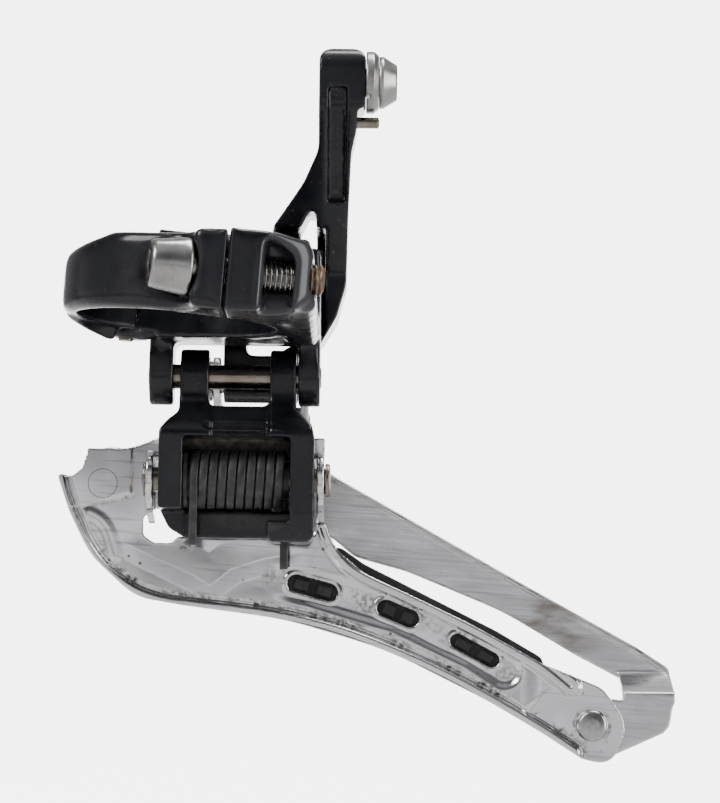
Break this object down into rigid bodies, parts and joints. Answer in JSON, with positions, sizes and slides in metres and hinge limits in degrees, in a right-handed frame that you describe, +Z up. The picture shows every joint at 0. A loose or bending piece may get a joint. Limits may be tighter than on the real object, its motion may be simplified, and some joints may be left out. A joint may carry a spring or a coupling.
{
  "type": "front derailleur",
  "caption": "Band-on front derailleur: hinged seat-tube clamp, sprung parallelogram linkage with a long cable arm, and a plated chain cage.",
  "frame": {"origin": "centre of the seat-tube clamp's bore, at mid height of the band", "axes": "+Z up along the seat tube, +X to the rear of the bicycle, +Y outboard to the chain side"},
  "size_m": [0.1056, 0.0767, 0.115],
  "materials": {
    "black_forging": "satin black coat over forged aluminium, worn at the edges",
    "stainless": "stainless, machined",
    "pin_steel": "ground steel with brown staining",
    "spring_steel": "dark phosphated wire with rust at the edges",
    "cage_chrome": "bright nickel-chrome plate with scratches and brown specks",
    "rivet_steel": "domed rivet steel",
    "skid_plastic": "black nylon",
    "bush_plastic": "dark acetal"
  },
  "bodies": {
    "support": {"support_body": "black_forging", "clamp_hinge_pin": "pin_steel", "inner_upper_pin": "pin_steel", "outer_upper_pin": "pin_steel"},
    "clamp_band": {"clamp_band": "black_forging"},
    "clamp_bolt": {"clamp_bolt": "stainless"},
    "inner_link": {"inner_link": "black_forging", "spring_sleeve": "bush_plastic", "return_spring": "spring_steel"},
    "outer_link": {"outer_link": "black_forging", "outer_upper_clip": "pin_steel", "cable_plate": "stainless", "cable_guide_pin": "pin_steel", "limit_screw_lock": "bush_plastic"},
    "cable_bolt": {"cable_bolt": "stainless"},
    "limit_screw_high": {"limit_screw_high": "stainless"},
    "limit_screw_low": {"limit_screw_low": "stainless"},
    "cage": {"inner_plate": "cage_chrome", "outer_plate": "cage_chrome", "skid_plate": "skid_plastic", "tail_rivet": "rivet_steel", "nose_rivet": "rivet_steel", "cage_inner_pin": "pin_steel", "cage_inner_pin_ring": "pin_steel", "cage_outer_pin": "pin_steel", "cage_outer_clip": "pin_steel"}
  },
  "joints": [
    {"name": "linkage_swing", "type": "hinge", "parent": "support", "child": "inner_link", "pos_m": [0.00974, 0.026, -0.01025], "axis": [0.9976, 0, 0.0698], "range_deg": [0, 32], "stiffness_Nm_per_rad": 0.6, "springref_deg": -68.75, "deforming": ["return_spring"]},
    {"name": "cage_swing", "type": "hinge", "parent": "inner_link", "child": "cage", "pos_m": [0.01095, 0.023, -0.0276], "axis": [0.9976, 0, 0.0698], "range_deg": [-32, 0]},
    {"name": "cable_arm_swing", "type": "hinge", "parent": "support", "child": "outer_link", "pos_m": [0.01448, 0.04, 0.00793], "axis": [0.9976, 0, 0.0698], "range_deg": [0, 32]},
    {"name": "clamp_bolt_travel", "type": "slide", "parent": "support", "child": "clamp_bolt", "axis": [-0.9816, -0.1908, 0], "range_m": [0, 0.005]},
    {"name": "clamp_band_swing", "type": "hinge", "parent": "support", "child": "clamp_band", "pos_m": [-0.00919, 0.0186, 0], "axis": [0, 0, -1], "range_deg": [0, 4]},
    {"name": "cable_bolt_travel", "type": "slide", "parent": "outer_link", "child": "cable_bolt", "axis": [0.9976, 0, 0.0698], "range_m": [0, 0.003]},
    {"name": "limit_screw_high_travel", "type": "slide", "parent": "outer_link", "child": "limit_screw_high", "axis": [0, 1, 0], "range_m": [0, 0.0025]},
    {"name": "limit_screw_low_travel", "type": "slide", "parent": "outer_link", "child": "limit_screw_low", "axis": [0, 1, 0], "range_m": [0, 0.0025]}
  ],
  "couplings": [
    {"joint": "cage_swing", "follows": "linkage_swing", "ratio": -1},
    {"joint": "cable_arm_swing", "follows": "linkage_swing", "ratio": 1},
    {"joint": "clamp_band_swing", "follows": "clamp_bolt_travel", "rad_per_m": 13.949}
  ]
}
